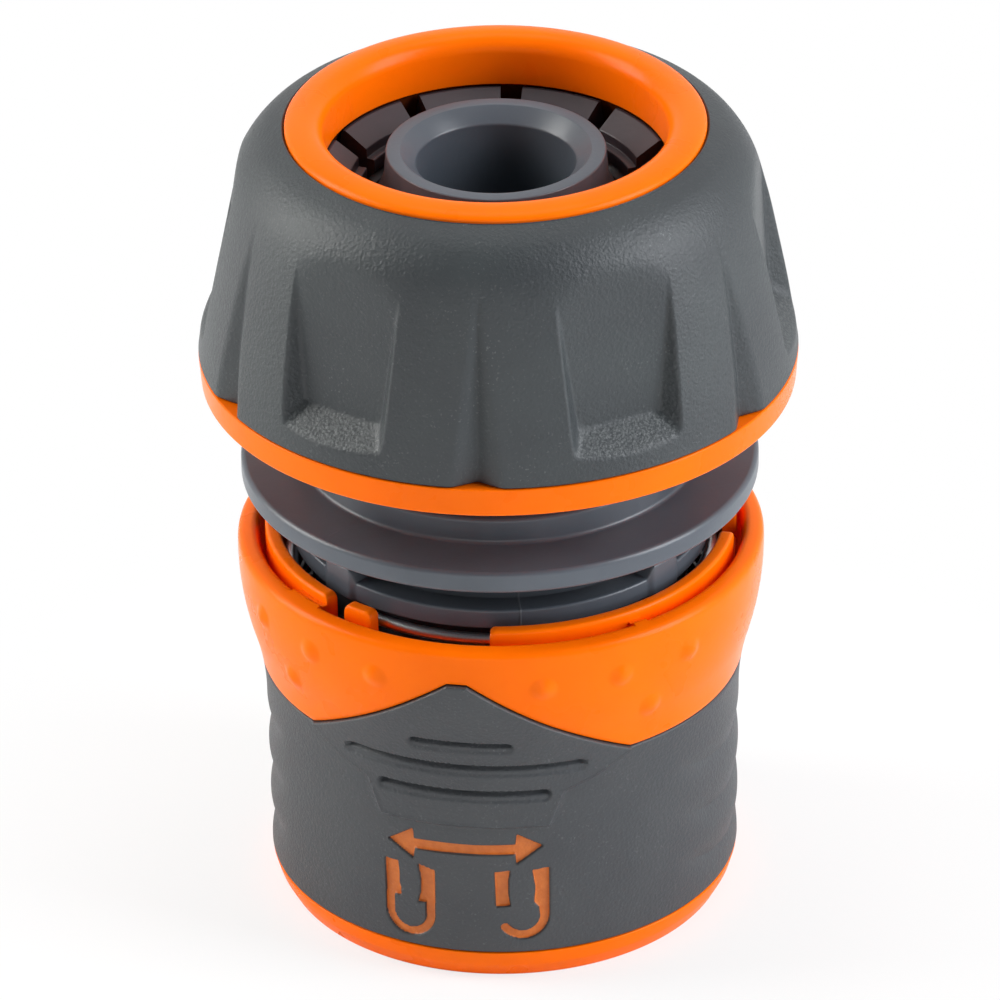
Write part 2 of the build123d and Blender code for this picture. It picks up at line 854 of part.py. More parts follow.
os.makedirs("parts", exist_ok=True)
for piece in pieces:
    export_step(piece, f"parts/{piece.label}.step")
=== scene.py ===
from math import atan, cos, degrees, pi, radians, sin, tan

import bmesh
import bpy
import numpy as np
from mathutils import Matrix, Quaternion, Vector

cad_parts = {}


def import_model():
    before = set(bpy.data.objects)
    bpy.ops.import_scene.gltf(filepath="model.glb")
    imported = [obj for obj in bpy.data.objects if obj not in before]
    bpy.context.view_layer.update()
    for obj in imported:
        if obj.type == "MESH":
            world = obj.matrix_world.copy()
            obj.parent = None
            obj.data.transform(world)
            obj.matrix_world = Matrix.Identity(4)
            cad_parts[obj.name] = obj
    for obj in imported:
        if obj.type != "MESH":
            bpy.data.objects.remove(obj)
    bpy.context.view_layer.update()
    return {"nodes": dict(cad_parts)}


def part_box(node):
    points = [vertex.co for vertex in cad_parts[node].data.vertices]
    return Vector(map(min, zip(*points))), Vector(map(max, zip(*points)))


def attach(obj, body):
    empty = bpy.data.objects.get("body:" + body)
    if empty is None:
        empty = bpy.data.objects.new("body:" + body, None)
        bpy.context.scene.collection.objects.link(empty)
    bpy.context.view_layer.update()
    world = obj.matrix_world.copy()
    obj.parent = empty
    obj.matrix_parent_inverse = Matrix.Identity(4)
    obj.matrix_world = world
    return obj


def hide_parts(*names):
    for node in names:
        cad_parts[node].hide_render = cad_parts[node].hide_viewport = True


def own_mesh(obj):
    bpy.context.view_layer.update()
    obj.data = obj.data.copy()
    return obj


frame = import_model()

# Garden hose quick connector. Lengths are in millimetres unless a name says metres, heights
# count from the floor, and angles are in degrees from the sleeve's front panel, positive to
# the right. MM turns millimetres into the frame's metres.
MM = 0.001


def low(node):
    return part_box(node)[0].z / MM


def high(node):
    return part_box(node)[1].z / MM


def reach(node):
    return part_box(node)[1].x / MM


# Clearances, and half the width of a sudden step between two columns of a ring
hair_gap = 0.05
sliding_gap = 0.3
mark_width = 0.03

# Nut
nut_low = low("nut_shell")
nut_top = high("nut_shell")
band_top = low("nut_grip")
nut_seam_radius = reach("nut_shell")
nut_bottom_radius = 24.0
nut_grip_depth = 2.9
ring_radius = 16.85
ring_seam = nut_top - 0.7
ring_mouth = 13.75
crown_radius = 15.15
crown_fall = 1.5
ring_low = nut_top - 4.3
nut_bore = 15.9
tube_outer = 17.6
pocket_top = nut_low + 12.5
skirt_inner = 19.5
ridge_radius = 15.3

# Dome of the nut's grip: radius and height of points up its outer line
dome_points = ((24.2, 48.8), (23.72, 52.3), (22.9, 56.7), (22.0, 61.0), (20.65, 65.4), (18.95, 67.55),
               (16.85, 68.7))

# Hidden faces where the shell and the grip meet: radius and height
grip_inner_points = ((17.9, 63.9), (19.9, 57.0))
shell_outer_points = ((19.8, 57.0), (17.6, 63.9))

# Scoops and notches round the nut
scoop_count = 6
scoop_first = 35.6
scoop_floor_radius = 21.7
scoop_floor_height = 52.4
scoop_lean = 4.2
scoop_half_low = 3.6
scoop_spread = 0.119
scoop_side_slope = 38.0
scoop_ledge_slope = 44.0
scoop_edge_round = 0.3
scoop_floor_round = 0.25
scoop_corner_round = 0.9
scoop_search = 1.5
notch_first = 5.6
notch_half_width = 1.95
notch_depth = 1.1
notch_top = 64.4
notch_edge_round = 0.22
notch_bottom_round = 0.1
notch_search = 12
notch_fade = 0.8
rib_count = 12
rib_half_width = 0.6

# Collet
collet_low = low("hose_collet")
collet_top = high("hose_collet")
collet_fingers = 10
collet_slot = 1.7
collet_slot_radius = 13
collet_slot_first = 4.4
collet_ring_height = 2.2
collet_bore = 13.3
collet_lip = 11.7
collet_grip = 11.0
collet_root = 11.9
collet_funnel = 1.25
collet_teeth_drop = 2.05
collet_tooth = 1.1
collet_tooth_slope = 0.5

# Connector body
body_low = low("connector_body")
tail_top = high("connector_body")
flange_radius = reach("connector_body")
flange_top = tail_top - 27.05
flange_low = flange_top - 1.9
neck_radius = 16.2
neck_top = flange_top + 2.2
boss_radius = 15.0
boss_top = collet_low - 4.4
boss_wall = 1.5
hose_pocket_floor = boss_top - 8.6
undercut_radius = 15.0
collar_radius = 17.0
collar_low = 32.0
collar_top = 33.7
lug_rise = 1.1
lug_reach = 0.25
lug_half_width = 2.0
lug_ramp = 0.7
lug_angles = (-40.0, 60.0, 140.0, -120.0)
spring_barrel_radius = 15.2
barrel_shoulder = 16.7
claw_barrel_radius = 12.0
end_spigot_radius = 11.4
end_ring_height = 2
mouth_radius = 9.2
mouth_top = 16.2
seal_bore_radius = 8.0
seal_top = 34.2
waterway_radius = 6.4
tail_rim_radius = 8.8
tail_pilot_radius = 9.0
tail_pilot_length = 2.5
tail_land_radius = 7.65
tail_chamfer = 1.15
barb_radius = 9.7
barb_root = 9.0
barb_land = 0.9
barb_pitch = 5.0
barb_count = 3
window_width = 6.6
window_height = 3.6
window_level = 9.0
window_depth = 8.0
window_radius = 11.0
thread_pitch = 3.0
thread_height = 0.55
thread_turns = 2.6
thread_start = neck_top + 1.3
parting_angle = 15.0

# Sleeve
sleeve_seam = 2.73
sleeve_seam_radius = 19.25
sleeve_waist_radius = 19.4
sleeve_straight_top = 17.0
flare_radius_max = 21.45
flare_top = 30.9
sleeve_rim = 32.4
rim_inner = 19.6
grip_depth = 1.25
ring_top = high("release_sleeve")
ring_gap_top = 30.5
ring_inner = 18.05
ring_outer = 19.2
pocket_floor = 30.2
web_top = 32.1
spring_end = -30.0
spring_wire = 1.0
spring_turns = 4.5
spring_floor = 20.0
spring_seat = 21.6
floor_bore = 15.5
wall_inner = 17.0
cam_top = 12.2
cam_top_radius = 13.4
cam_low_radius = 16.67
cam_low = 1.2
sleeve_foot_radius = 18.1
sleeve_foot_bulge = 18.85
ring_gaps = ((-37.0, -31.2), (-23.3, 7.0), (90.0, 100.0))
ring_end_round = 0.45
shelves = ((-47.0, -37.0, 32.15), (43.5, 67.0, 31.1))
web_angles = (43.5,)
web_half_width = 0.6

# Sleeve grip's edge, pad, slots, lobes and symbols
edge_height = 20.85
edge_corner = 13.0
edge_peak = 29.2
edge_peak_half = 0.8
pad_rise = 0.3
pad_corners = ((6.8, 15.0), (7.9, 18.1), (10.5, 19.2), (13.0, 20.75))
pad_slots = ((17.85, 6.95), (20.4, 9.7), (22.8, 4.2))
pad_slot_half = 0.5
pad_slot_depth = 0.62
pad_bead = 0.12
lobe_levels = (5.1, 9.7, 14.3)
lobe_depth = 0.4
lobe_half = 2.3
lobe_rise = 14.6
bump_rise = 0.36
bump_reach = 1.15
bump_span = 3.6
bumps = ((18.8, 28.8), (36.5, 28.8), (54.8, 28.8), (45.0, 24.7))
symbol_depth = 0.28
no_symbol = -9.0


class Wire:
    """A node's output that takes part in sums; each sum adds a Math node."""

    def __init__(self, paint, socket):
        self.paint = paint
        self.socket = socket

    def maths(self, operation, first, second=0.0):
        return self.paint.node("ShaderNodeMath", {"operation": operation}, {0: first, 1: second})

    def __add__(self, other):
        return self.maths("ADD", self, other)

    def __radd__(self, other):
        return self.maths("ADD", other, self)

    def __sub__(self, other):
        return self.maths("SUBTRACT", self, other)

    def __rsub__(self, other):
        return self.maths("SUBTRACT", other, self)

    def __mul__(self, other):
        return self.maths("MULTIPLY", self, other)

    def __rmul__(self, other):
        return self.maths("MULTIPLY", other, self)

    def __lt__(self, other):
        return self.maths("LESS_THAN", self, other)

    def __abs__(self):
        return self.maths("ABSOLUTE", self)

    def clamp(self):
        return self.maths("MINIMUM", self.maths("MAXIMUM", self, 0.0), 1.0)

    def smooth(self, start, end):
        """0 before start, 1 after end, with soft shoulders."""
        settings = {"interpolation_type": "SMOOTHSTEP"}
        return self.paint.node("ShaderNodeMapRange", settings, {0: self, 1: start, 2: end}, 0)


class Paint:
    """The nodes of a material or of the world."""

    def __init__(self, name, owners=bpy.data.materials):
        self.material = owners.new(name)
        self.material.use_nodes = True
        self.tree = self.material.node_tree
        self.shader = self.tree.nodes.get("Principled BSDF")
        self.place = self.node("ShaderNodeTexCoord", output="Object")

    def feed(self, socket, value):
        if isinstance(value, Wire):
            self.tree.links.new(value.socket, socket)
        else:
            socket.default_value = value

    def node(self, kind, settings=None, values=None, output=0):
        """A node of a kind: its settings come first, then the values or links of its sockets."""
        node = self.tree.nodes.new(kind)
        for name, value in (settings or {}).items():
            setattr(node, name, value)
        for name, value in (values or {}).items():
            self.feed(node.inputs[name], value)
        return None if output is None else Wire(self, node.outputs[output])

    def noise(self, size, detail, rough=0.5):
        """Noise whose grains are about size millimetres across."""
        scale = 1 / (size * MM)
        values = {"Vector": self.place, "Scale": scale, "Detail": detail, "Roughness": rough}
        return self.node("ShaderNodeTexNoise", {}, values, "Fac")

    def cells(self, size):
        """Pits about size millimetres apart."""
        values = {"Vector": self.place, "Scale": 1 / (size * MM)}
        return self.node("ShaderNodeTexVoronoi", {}, values, "Distance")

    def mark(self, name):
        """A value stored on the mesh's points."""
        return self.node("ShaderNodeAttribute", {"attribute_name": name}, output="Fac")

    def axis(self, letter):
        """One coordinate of the shaded point, in millimetres."""
        return self.node("ShaderNodeSeparateXYZ", {}, {"Vector": self.place}, letter) * (1 / MM)

    def mix(self, amount, first, second):
        settings = {"data_type": "RGBA", "blend_type": "MIX"}
        return self.node("ShaderNodeMix", settings, {0: amount, 6: first, 7: second}, 2)

    def bump(self, height, depth, before=None):
        """Bumps of height 0 to 1 that stand depth millimetres proud."""
        values = {"Height": height, "Distance": depth * MM, "Strength": 1.0}
        if before is not None:
            values["Normal"] = before
        return self.node("ShaderNodeBump", {}, values, "Normal")

    def finish(self, **sockets):
        """Values or links for the shader, with spaces in the sockets' names as underscores."""
        for name, value in sockets.items():
            self.feed(self.shader.inputs[name.replace("_", " ")], value)
        return self.material


def shade(red, green, blue):
    """Colour from screen values of 0 to 255, as the shader takes it."""
    def straight(value):
        value /= 255
        return value / 12.92 if value <= 0.04045 else ((value + 0.055) / 1.055) ** 2.4
    return (straight(red), straight(green), straight(blue), 1.0)


def grip_paint(name, colour, pale, deep):
    """Soft grey overmould: spark-eroded grain, faint handling marks and a sheen."""
    paint = Paint(name)
    grain = paint.noise(0.2, 3.0, 0.65)
    pits = paint.cells(0.34)
    clouds = paint.noise(9.0, 3.0)
    speck = paint.noise(0.22, 1.0).smooth(0.62, 0.74)
    rubbed = paint.noise(4.0, 4.0).smooth(0.5, 0.8) * speck
    stipple = paint.mark("ledge") * grain.smooth(0.45, 0.62)
    base = paint.mix(clouds.smooth(0.3, 0.7), shade(*deep), shade(*colour))
    base = paint.mix((rubbed * 0.25 + speck * 0.08 + stipple * 0.3).clamp(), base, shade(*pale))
    coarse = paint.bump(grain, 0.05)
    normal = paint.bump(pits, 0.03, coarse)
    roughness = 0.46 + (grain - 0.5) * 0.25 + (clouds - 0.5) * 0.1
    return paint, base, roughness, normal


def nut_grip_paint():
    """The soft grip's finish in the nut's grey."""
    colours = (54, 59, 61), (132, 136, 135), (48, 52, 55)
    paint, base, roughness, normal = grip_paint("nut_soft_grip", *colours)
    return paint.finish(Base_Color=base, Roughness=roughness, Normal=normal, Specular_IOR_Level=0.5)


def sleeve_grip_paint():
    """The soft grip's finish in the sleeve's grey, with the orange signs and painted shade round their sunk
    edges.
    """
    colours = (61, 64, 67), (132, 135, 134), (55, 58, 62)
    paint, base, roughness, normal = grip_paint("sleeve_soft_grip", *colours)
    symbol = paint.mark("symbol")
    stain = paint.noise(0.6, 3.0)
    ink = paint.mix(stain.smooth(0.3, 0.7), shade(196, 100, 26), shade(206, 110, 34))
    # Painted shade: a dark band just outside each sign's edge, where the recess wall's shadow falls.
    base = paint.mix(symbol.smooth(-0.16, -0.03) * 0.5, base, shade(40, 36, 34))
    base = paint.mix(symbol.smooth(-0.02, 0.03), base, ink)
    return paint.finish(Base_Color=base, Roughness=roughness, Normal=normal, Specular_IOR_Level=0.5)


def moulded_paint(name, colour, deep, roughness, specular=0.5):
    """Smooth moulded plastic: faint flow clouds, a soft skin texture and fine dust, plus painted shade and
    painted red-orange bounce light where a mesh marks them.
    """
    paint = Paint(name)
    flow = paint.noise(6.0, 3.0)
    skin = paint.noise(0.45, 3.0, 0.6)
    dust = paint.noise(0.12, 1.0).smooth(0.7, 0.8)
    base = paint.mix(flow.smooth(0.3, 0.7), shade(*deep), shade(*colour))
    # Painted shade: points marked "shaded" turn nearly black-brown.
    base = paint.mix(paint.mark("shaded") * 0.94, base, shade(30, 16, 12))
    # Painted bounce light: points marked "inside" turn the deep red-orange of light reflected between the
    # sleeve's orange walls.
    base = paint.mix(paint.mark("inside") * 0.8, base, shade(255, 62, 0))
    rough = roughness + (flow - 0.5) * 0.08 + dust * 0.12
    normal = paint.bump(skin, 0.012)
    return paint.finish(Base_Color=base, Roughness=rough, Normal=normal, Specular_IOR_Level=specular)


def body_paint():
    """Grey moulding with a faint parting line up its front and back, below the flange; the undercut marked
    "shaded" gets painted shade.
    """
    paint = Paint("body_plastic")
    flow = paint.noise(7.0, 3.0)
    skin = paint.noise(0.4, 3.0, 0.6)
    dust = paint.noise(0.12, 1.0).smooth(0.68, 0.8)
    turn = radians(parting_angle)
    along = paint.axis("X") * cos(turn) + paint.axis("Y") * sin(turn)
    line = (1 - abs(along).smooth(0.03, 0.11)) * (paint.axis("Z") < flange_low)
    base = paint.mix(flow.smooth(0.3, 0.7), shade(74, 80, 88), shade(82, 88, 96))
    base = paint.mix((line * 0.2 + dust * 0.12).clamp(), base, shade(140, 140, 142))
    # Painted shade: the undercut under the flange is darkened towards near black.
    base = paint.mix(paint.mark("shaded") * 0.45, base, shade(26, 26, 28))
    normal = paint.bump(line, 0.05, paint.bump(skin, 0.01))
    rough = 0.36 + (flow - 0.5) * 0.1 + dust * 0.15
    return paint.finish(Base_Color=base, Roughness=rough, Normal=normal)


def steel_paint():
    """Drawn spring wire with fine lengthwise marks."""
    paint = Paint("spring_steel")
    marks = paint.noise(0.15, 3.0)
    base = paint.mix(marks, shade(196, 196, 200), shade(222, 222, 224))
    normal = paint.bump(marks, 0.0015)
    return paint.finish(Base_Color=base, Metallic=1.0, Roughness=0.26 + marks * 0.1, Normal=normal)


# Shapes
def wrapped(angle):
    """The same direction from -180 up to 180."""
    return (angle + 180) % 360 - 180


def smooth_line(points, count=400):
    """Rounded line through points, as a dense list of radius and height."""
    points = np.array(points, float)
    steps = np.sqrt(np.linalg.norm(np.diff(points, axis=0), axis=1))
    knots = np.concatenate(([0.0], np.cumsum(steps)))
    slopes = np.gradient(points, knots, axis=0)
    place = np.linspace(0, knots[-1], count)
    index = np.clip(np.searchsorted(knots, place) - 1, 0, len(knots) - 2)
    span = (knots[index + 1] - knots[index])[:, None]
    t = ((place - knots[index])[:, None]) / span
    start, end = points[index], points[index + 1]
    leave, arrive = slopes[index] * span, slopes[index + 1] * span
    return ((2 * t**3 - 3 * t**2 + 1) * start + (t**3 - 2 * t**2 + t) * leave
            + (3 * t**2 - 2 * t**3) * end + (t**3 - t**2) * arrive)


def fine_steps(*spans):
    """Rising values over spans of (first, last, step)."""
    runs = [np.linspace(first, last, max(2, int(round((last - first) / step)) + 1))
            for first, last, step in spans]
    return np.unique(np.round(np.concatenate(runs), 5))


def columns(step, *spans, marks=()):
    """Angles of a ring's columns: even steps, finer ones in the spans and a close pair at each mark."""
    even = np.arange(-180, 180, step)
    for first, last, _ in spans:
        even = even[(even < first) | (even > last)]
    fine = [np.linspace(first, last, int(round((last - first) / gap)) + 1) for first, last, gap in spans]
    for mark in marks:
        even = even[abs(even - mark) > step / 4]
        fine.append(np.array([mark - mark_width, mark + mark_width]))
    angles = np.concatenate([even] + fine)
    return np.unique(np.round(wrapped(angles), 5))


def between(angles, first, last):
    """True for the columns from first to last, which may pass the back."""
    return (angles - first) % 360 <= (last - first) % 360


def soften(corners, count, steps=4):
    """Profile for each column from corners of (radius, height, rounding); a value may differ by column."""
    places = np.stack([np.stack(np.broadcast_arrays(np.zeros(count) + r, np.zeros(count) + z), -1)
                       for r, z, _ in corners], 1)
    rounds = [corner[2] for corner in corners]
    made = []
    for i, rounding in enumerate(rounds):
        here = places[:, i]
        if rounding == 0:
            made.append(here[:, None])
            continue
        back = places[:, i - 1] - here
        ahead = places[:, (i + 1) % len(rounds)] - here
        back_length = np.linalg.norm(back, axis=1, keepdims=True) + 1e-9
        ahead_length = np.linalg.norm(ahead, axis=1, keepdims=True) + 1e-9
        back, ahead = back / back_length, ahead / ahead_length
        opening = np.arccos(np.clip((back * ahead).sum(1, keepdims=True), -0.9999, 0.9999))
        tangent = rounding / np.tan(opening / 2)
        tangent = np.minimum(tangent, 0.46 * np.minimum(back_length, ahead_length))
        t = np.linspace(0, 1, steps + 1)[None, :, None]
        first, last = (here + back * tangent)[:, None], (here + ahead * tangent)[:, None]
        weight = np.sin(opening / 2)[:, None]
        blend = (1 - t) ** 2 + 2 * weight * t * (1 - t) + t**2
        made.append(((1 - t) ** 2 * first + 2 * weight * t * (1 - t) * here[:, None] + t**2 * last) / blend)
    return np.concatenate(made, 1)


def turned(angles, profile):
    """Points round the axis from a profile of radius and height for each column."""
    a = np.radians(angles)[:, None]
    return np.stack((profile[..., 0] * np.sin(a), -profile[..., 0] * np.cos(a), profile[..., 1]), -1)


def low_of(first, second, rounding):
    """The lower of two heights, with a rounded crossing."""
    return np.minimum(first, second) - np.maximum(rounding - abs(first - second), 0) ** 2 / (4 * rounding)


def high_of(first, second, rounding):
    """The higher of two heights, with a rounded crossing."""
    return -low_of(-first, -second, rounding)


def ramp(value, first, last):
    """0 up to first, 1 from last on, with soft shoulders."""
    t = np.clip((value - first) / (last - first), 0, 1)
    return t * t * (3 - 2 * t)


def piece(name, points, faces, paint, body, slot, nodes=(), marks=None, crease=32.0):
    """A shown mesh in the frame that rides on a body, takes a finish and may stand for CAD nodes."""
    mesh = bpy.data.meshes.new(name)
    mesh.from_pydata((np.asarray(points) * MM).tolist(), [], [list(map(int, face)) for face in faces])
    for mark, values in (marks or {}).items():
        mesh.attributes.new(mark, "FLOAT", "POINT").data.foreach_set("value", np.ravel(values))
    skin = bmesh.new()
    skin.from_mesh(mesh)
    bmesh.ops.remove_doubles(skin, verts=skin.verts, dist=1e-4 * MM)
    bmesh.ops.dissolve_degenerate(skin, edges=skin.edges, dist=1e-4 * MM)
    skin.to_mesh(mesh)
    skin.free()
    mesh.shade_smooth()
    mesh.set_sharp_from_angle(angle=radians(crease))
    mesh.materials.append(paint)
    item = bpy.data.objects.new(name, mesh)
    bpy.context.collection.objects.link(item)
    even = item.modifiers.new("even_shading", "WEIGHTED_NORMAL")
    even.keep_sharp = True
    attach(item, body)
    if nodes:
        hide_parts(*nodes)
    return item


def ring_faces(count, rows):
    """Quads of a skin that closes both round the axis and round its profile."""
    index = np.arange(count * rows).reshape(count, rows)
    right = np.roll(index, -1, axis=0)
    return np.stack((index, right, np.roll(right, -1, axis=1), np.roll(index, -1, axis=1)), -1).reshape(-1, 4)


def ring_piece(name, points, *rest, marks=None, **more):
    """A closed ring over points[column, row]."""
    count, rows = points.shape[:2]
    return piece(name, points.reshape(-1, 3), ring_faces(count, rows), *rest, marks=marks, **more)


# Nut grip: the dome with six scoops and six notches
def scooped(points):
    """Moves the dome's points down to the scoops; returns them with how much of a ledge each is."""
    ledge = np.zeros(points.shape[:2])
    for scoop in range(scoop_count):
        angle, lean = radians(scoop_first + scoop * 60), radians(scoop_lean)
        out = np.array([sin(angle) * cos(lean), -cos(angle) * cos(lean), sin(lean)])
        across = np.array([cos(angle), sin(angle), 0.0])
        up = np.cross(out, across)
        foot = np.array([sin(angle) * scoop_floor_radius, -cos(angle) * scoop_floor_radius,
                         scoop_floor_height])
        away = points - foot
        u, v, w = away @ across, away @ up, away @ out
        tilt = atan(scoop_spread)
        side = (abs(u) - scoop_half_low - v * scoop_spread) * cos(tilt) / tan(radians(scoop_side_slope))
        sill = -v / tan(radians(scoop_ledge_slope))
        wall = high_of(high_of(side, sill, scoop_corner_round), np.zeros_like(side), scoop_floor_round)
        sunk = low_of(w, wall, scoop_edge_round)
        near = w > -scoop_search
        points = points + np.where(near, sunk - w, 0)[..., None] * out
        on_sill = ramp(sill, 0.05, 0.3) * ramp(sill - side, -0.1, 0.2)
        ledge = np.maximum(ledge, on_sill * ramp(w - sunk, 0.02, 0.2) * near)
    return points, ledge


def notched(angles, profile):
    """Sinks V notches between the lobes into a profile."""
    radius, height = profile[..., 0], profile[..., 1]
    deepest = notch_depth * np.clip((notch_top - height) / (notch_top - band_top), 0, 1.05)
    for notch in range(scoop_count):
        off = wrapped(angles - notch_first - notch * 60)
        across = radius * np.sin(np.radians(off))[:, None]
        across = np.sqrt(across**2 + notch_bottom_round**2) - notch_bottom_round
        near = (abs(off) < notch_search)[:, None]
        groove = across * notch_depth / notch_half_width - deepest
        sunk = low_of(groove, np.zeros_like(groove), notch_edge_round)
        fade = ramp(notch_top + notch_fade - height, 0, 1.5)
        radius = radius + np.where(near, sunk, 0) * fade
    return np.stack((radius, height), -1)


def nut_grip():
    spans = []
    for turn in range(scoop_count):
        notch, scoop = notch_first + 60 * turn, scoop_first + 60 * turn
        spans += [(notch - 5.4, notch + 5.4, 0.27), (scoop - 17, scoop - 8.5, 0.24),
                  (scoop - 8.5, scoop + 8.5, 0.85), (scoop + 8.5, scoop + 17, 0.24)]
    angles = columns(1.2, *[(wrapped(a), wrapped(a) + b - a, step) for a, b, step in spans])
    line = smooth_line(dome_points)[::-1]
    heights = fine_steps((band_top + 0.35, 49.4, 0.2), (49.4, 53.2, 0.13), (53.2, 64.6, 0.36),
                         (64.6, ring_seam - 0.12, 0.28))
    radii = np.interp(heights, line[::-1, 1], line[::-1, 0])
    outer = np.stack((radii, heights), -1)
    seam = ring_radius + hair_gap
    edge_top = [(seam + 0.16, ring_seam - 0.03), (seam + 0.05, ring_seam - 0.1), (seam, ring_seam - 0.25),
                (seam, ring_seam - 1.2)]
    under = [*grip_inner_points, (nut_seam_radius - nut_grip_depth, band_top + hair_gap)]
    low_edge = [(nut_seam_radius - 0.3, band_top + hair_gap), (nut_seam_radius - 0.12, band_top + 0.09),
                (nut_seam_radius - 0.02, band_top + 0.2)]
    profile = np.array([*low_edge, *outer.tolist(), *edge_top, *under])
    profile = np.broadcast_to(profile, (len(angles), *profile.shape)).copy()
    shown = len(low_edge) + len(outer)
    shaped = notched(angles, profile[:, :shown])
    profile = np.concatenate((shaped, profile[:, shown:]), 1)
    points = turned(angles, profile)
    sunk, ledge = scooped(points[:, :shown])
    points = np.concatenate((sunk, points[:, shown:]), 1)
    ledge = np.concatenate((ledge, np.zeros(points.shape[:2])[:, shown:]), 1)
    return ring_piece("nut_soft_grip", points, nut_grip_paint(), "nut", "grey_soft_grip", ["nut_grip"],
                      marks={"ledge": ledge}, crease=50.0)


def nut_shell():
    rib_angles = [wrapped(notch_first + rib * 360 / rib_count) for rib in range(rib_count)]
    rib_half = degrees(rib_half_width / tube_outer)
    marks = [a + side * rib_half for a in rib_angles for side in (-1, 1)]
    angles = columns(1.0, marks=marks)
    rib = np.zeros(len(angles), bool)
    for a in rib_angles:
        rib |= between(angles, a - rib_half, a + rib_half)
    pocket = np.where(rib, band_top, pocket_top)
    seam_inner = nut_seam_radius - nut_grip_depth
    cone_low = collet_low - 0.2
    quarter = np.radians(np.linspace(90, 0, 9))
    outside = np.stack((crown_radius + (ring_radius - crown_radius) * np.sin(quarter),
                        ring_seam + (nut_top - ring_seam) * np.cos(quarter)), -1)
    inside = np.stack((crown_radius - (crown_radius - ring_mouth) * np.sin(quarter[::-1]),
                       nut_top - crown_fall * (1 - np.cos(quarter[::-1]))), -1)
    crown = [(r, z, 0) for r, z in (*outside, *inside[1:])]
    corners = [
        (nut_bottom_radius, nut_low, 0.3), (nut_seam_radius, band_top, 0.14),
        (seam_inner - 0.1, band_top, 0), *[(r, z, 0) for r, z in shell_outer_points],
        (ring_radius, ring_seam - 1.3, 0), *crown,
        (ring_mouth, ring_low, 0.15), (ring_mouth + 0.4, ring_low, 0), (nut_bore, cone_low, 0),
        (ridge_radius, cone_low - 0.2, 0), (ridge_radius, cone_low - 0.8, 0.1), (nut_bore, cone_low - 1.4, 0),
        (nut_bore, nut_low + 0.7, 0.2), (tube_outer, nut_low + 0.7, 0.2), (tube_outer, pocket, 0),
        (skirt_inner - 1.3, pocket, 0), (skirt_inner, band_top + 1.8, 0), (seam_inner, nut_low, 0.2),
    ]
    profile = soften(corners, len(angles), 6)
    radius, height = profile[..., 0], profile[..., 1]
    # Marks the cone faces inside the nut, behind the collet, for painted shade in the orange finish.
    cone = (radius > ring_mouth + 0.1) & (radius < nut_bore + 0.1) & (height < ring_low + 0.1)
    return ring_piece("nut_shell_moulding", turned(angles, profile), orange, "nut", "orange_plastic",
                      ["nut_shell"], marks={"shaded": cone.astype(float)})


def hose_collet():
    slot_angles = [wrapped(collet_slot_first + slot * 360 / collet_fingers) for slot in range(collet_fingers)]
    slot_half = degrees(collet_slot / 2 / collet_slot_radius)
    marks = [a + side * slot_half for a in slot_angles for side in (-1, 1)]
    angles = columns(1.5, marks=marks)
    open_slot = np.zeros(len(angles), bool)
    for a in slot_angles:
        open_slot |= between(angles, a - slot_half, a + slot_half)
    cone_low, cone_top = collet_low - 0.2, ring_low

    def cone(height):
        share = (ring_mouth + 0.4 - nut_bore) * (height - cone_low) / (cone_top - cone_low)
        return nut_bore + share - sliding_gap

    ring_high = collet_low + collet_ring_height
    lip_top, teeth_top = collet_top - collet_funnel, collet_top - collet_teeth_drop
    tooth_low = teeth_top - 2 * collet_tooth - 2 * collet_tooth_slope
    tooth_root = teeth_top - collet_tooth - collet_tooth_slope
    corners = [
        (cone(collet_low), collet_low, 0.15), (cone(ring_high), ring_high, 0),
        (cone(collet_top), collet_top, 0.1), (cone(collet_top) - 0.3, collet_top, 0.15),
        (collet_lip, lip_top, 0.2), (collet_lip, teeth_top, 0.1), (collet_grip, teeth_top, 0.15),
        (collet_grip, teeth_top - collet_tooth, 0.1), (collet_root, tooth_root, 0.1),
        (collet_grip, tooth_low + collet_tooth, 0.1), (collet_grip, tooth_low, 0.1),
        (collet_bore, ring_high + 0.1, 0.2),
        (collet_bore, ring_high, 0), (collet_bore, collet_low, 0.15),
    ]
    profile = soften(corners, len(angles), 3)
    above = np.where(profile[0, :, 1] > ring_high + 1e-6)[0]
    first, last = above[0], above[-1]
    spread = np.linspace(cone(ring_high), collet_bore, last - first + 1)
    floor_line = np.stack((spread, np.full_like(spread, ring_high)), -1)
    profile[np.ix_(open_slot, range(first, last + 1))] = floor_line
    return ring_piece("hose_collet_moulding", turned(angles, profile), collet_plastic, "collet",
                      "brown_grey_plastic", ["hose_collet"])


